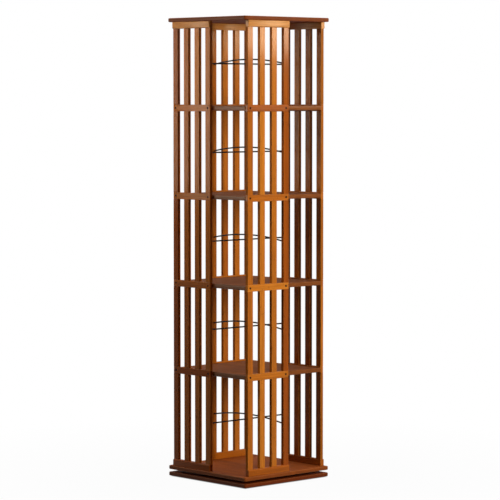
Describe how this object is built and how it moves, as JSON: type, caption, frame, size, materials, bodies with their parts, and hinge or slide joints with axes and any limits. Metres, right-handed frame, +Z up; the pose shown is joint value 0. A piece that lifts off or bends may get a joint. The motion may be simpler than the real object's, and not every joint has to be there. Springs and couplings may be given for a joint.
{
  "type": "revolving bookcase",
  "caption": "Tall square revolving bookcase: shelves held by half-width slatted panels set pinwheel fashion, crossed by stop rods, turning on a ball-bearing ring over a base board.",
  "frame": {"origin": "centre of the base's footprint on the floor, on the turning axis", "axes": "+Z up along the turning axis; the front panel is on -Y and the right panel on +X, and the corner between them is nearest in the picture"},
  "size_m": [0.4, 0.4, 1.613],
  "materials": {
    "board_wood": "brown-stained bamboo, satin lacquer",
    "shelf_wood": "brown-stained bamboo, satin lacquer",
    "rail_wood": "brown-stained bamboo, satin lacquer",
    "slat_wood": "brown-stained bamboo, satin lacquer",
    "ring_aluminium": "plain extruded aluminium",
    "ball_steel": "polished bearing steel",
    "cage_plastic": "natural nylon",
    "screw_steel": "black-brown coated steel",
    "rod_steel": "black powder-coated steel rod",
    "pad_rubber": "soft non-slip pad"
  },
  "bodies": {
    "base": {"base_board": "board_wood", "base_pads": "pad_rubber", "bearing_outer_ring": "ring_aluminium", "outer_ring_screws": "screw_steel"},
    "case": {"bearing_inner_ring": "ring_aluminium", "inner_ring_screws": "screw_steel", "bottom_board": "board_wood", "shelf_1": "shelf_wood", "shelf_2": "shelf_wood", "shelf_3": "shelf_wood", "shelf_4": "shelf_wood", "top_board": "board_wood", "case_screws": "screw_steel", "stop_rods": "rod_steel", "front_bottom_rail": "rail_wood", "front_rail_1": "rail_wood", "front_rail_2": "rail_wood", "front_rail_3": "rail_wood", "front_rail_4": "rail_wood", "front_top_rail": "rail_wood", "right_bottom_rail": "rail_wood", "right_rail_1": "rail_wood", "right_rail_2": "rail_wood", "right_rail_3": "rail_wood", "right_rail_4": "rail_wood", "right_top_rail": "rail_wood", "back_bottom_rail": "rail_wood", "back_rail_1": "rail_wood", "back_rail_2": "rail_wood", "back_rail_3": "rail_wood", "back_rail_4": "rail_wood", "back_top_rail": "rail_wood", "left_bottom_rail": "rail_wood", "left_rail_1": "rail_wood", "left_rail_2": "rail_wood", "left_rail_3": "rail_wood", "left_rail_4": "rail_wood", "left_top_rail": "rail_wood", "front_slats_1": "slat_wood", "front_slats_2": "slat_wood", "front_slats_3": "slat_wood", "front_slats_4": "slat_wood", "front_slats_5": "slat_wood", "right_slats_1": "slat_wood", "right_slats_2": "slat_wood", "right_slats_3": "slat_wood", "right_slats_4": "slat_wood", "right_slats_5": "slat_wood", "back_slats_1": "slat_wood", "back_slats_2": "slat_wood", "back_slats_3": "slat_wood", "back_slats_4": "slat_wood", "back_slats_5": "slat_wood", "left_slats_1": "slat_wood", "left_slats_2": "slat_wood", "left_slats_3": "slat_wood", "left_slats_4": "slat_wood", "left_slats_5": "slat_wood"},
    "ball_ring": {"ball_cage": "cage_plastic", "bearing_balls": "ball_steel"}
  },
  "joints": [
    {"name": "case_turn", "type": "hinge", "parent": "base", "child": "case", "pos_m": [0, 0, 0.0205], "axis": [0, 0, 1], "continuous": true},
    {"name": "ball_ring_turn", "type": "hinge", "parent": "base", "child": "ball_ring", "pos_m": [0, 0, 0.0205], "axis": [0, 0, 1], "continuous": true}
  ],
  "couplings": [
    {"joint": "ball_ring_turn", "follows": "case_turn", "ratio": 0.4884}
  ]
}
